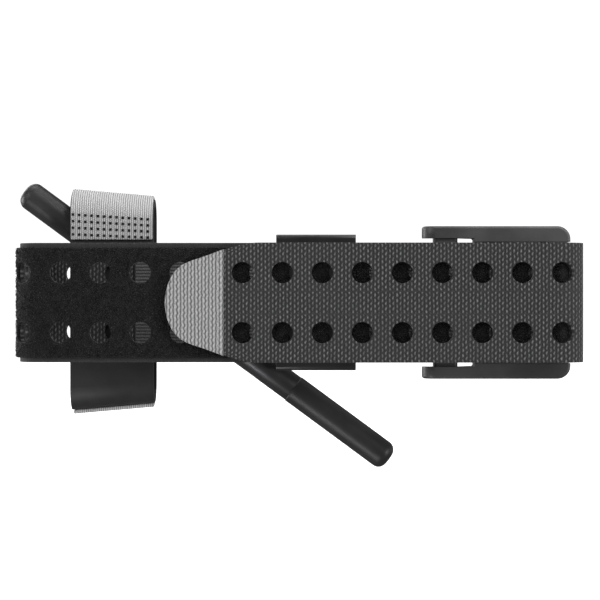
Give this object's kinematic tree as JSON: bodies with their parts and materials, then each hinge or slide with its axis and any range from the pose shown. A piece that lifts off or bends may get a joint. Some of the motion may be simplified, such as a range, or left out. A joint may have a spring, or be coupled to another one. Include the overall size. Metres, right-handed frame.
{
  "type": "windlass tourniquet",
  "caption": "Looped strap tourniquet with punched self-gripping strap, sprung locking buckle, guide plate, windlass rod parked in a two-hook clip and a closed retention strap.",
  "frame": {"origin": "centre of the limb opening, midway between the two long runs of the loop and between the strap edges", "axes": "+X along the flattened loop towards the buckle, +Y through the loop towards the windlass, +Z across the strap, along the limb"},
  "size_m": [0.1853, 0.0486, 0.0956],
  "materials": {
    "strap_weave": "matte woven polyester",
    "strap_pile": "matte brushed loop pile",
    "grey_fabric": "matte plain-woven tape",
    "grey_thread": "matte thread",
    "retention_fabric": "matte fine-woven tape",
    "ribbed_webbing": "matte ribbed webbing",
    "windlass_band": "smooth flat webbing",
    "black_thread": "matte thread",
    "rod_metal": "satin black anodised",
    "grip_plastic": "satin, faintly stippled",
    "clip_plastic": "satin moulded",
    "stud_plastic": "satin moulded",
    "hook_tape": "hook tape",
    "plate_metal": "satin black coating",
    "buckle_metal": "satin dark grey coating",
    "slider_metal": "satin dark",
    "steel": "satin"
  },
  "bodies": {
    "loop": {"main_strap": "strap_weave", "strap_pile": "strap_pile", "retention_strap": "retention_fabric", "base_webbing": "ribbed_webbing", "inner_band": "windlass_band", "joint_stitches": "black_thread", "loop_stitches": "black_thread", "band_stitches": "black_thread", "clip_stitches": "black_thread", "windlass_clip": "clip_plastic", "weld_studs": "stud_plastic", "hook_patch": "hook_tape", "buckle_frame": "buckle_metal", "rail_cover_upper": "buckle_metal", "rail_cover_lower": "buckle_metal", "cover_screws": "steel", "slider_spring_upper": "steel", "slider_spring_lower": "steel", "spring_guide_rods": "steel"},
    "windlass": {"windlass_rod": "rod_metal", "grip_upper": "grip_plastic", "grip_lower": "grip_plastic", "band_loop": "windlass_band"},
    "flap": {"retention_flap": "retention_fabric"},
    "slider": {"slider_bar": "slider_metal", "locking_prongs": "steel"},
    "tail": {"strap_tail": "strap_weave", "tail_pile": "strap_pile", "pull_tab": "grey_fabric", "tab_stitches": "grey_thread"},
    "plate": {"guide_plate": "plate_metal"}
  },
  "joints": [
    {"name": "windlass_turn", "type": "hinge", "parent": "loop", "child": "windlass", "pos_m": [-0.0314, 0.0223, -0.0077], "axis": [0, -1, 0], "range_deg": [0, 56]},
    {"name": "flap_open", "type": "hinge", "parent": "loop", "child": "flap", "pos_m": [-0.0631, 0.0313, 0.0245], "axis": [1, 0, 0], "range_deg": [0, 110]},
    {"name": "slider_press", "type": "slide", "parent": "loop", "child": "slider", "axis": [1, 0, 0], "range_m": [0, 0.004], "stiffness_N_per_m": 1500, "springref_m": -0.003, "deforming": ["slider_spring_upper", "slider_spring_lower"]},
    {"name": "tail_peel", "type": "hinge", "parent": "loop", "child": "tail", "pos_m": [0.01345, -0.01705, 0], "axis": [0, 0, 1], "range_deg": [0, 75]},
    {"name": "plate_slide", "type": "slide", "parent": "loop", "child": "plate", "axis": [1, 0, 0], "range_m": [-0.004, 0.009]}
  ]
}
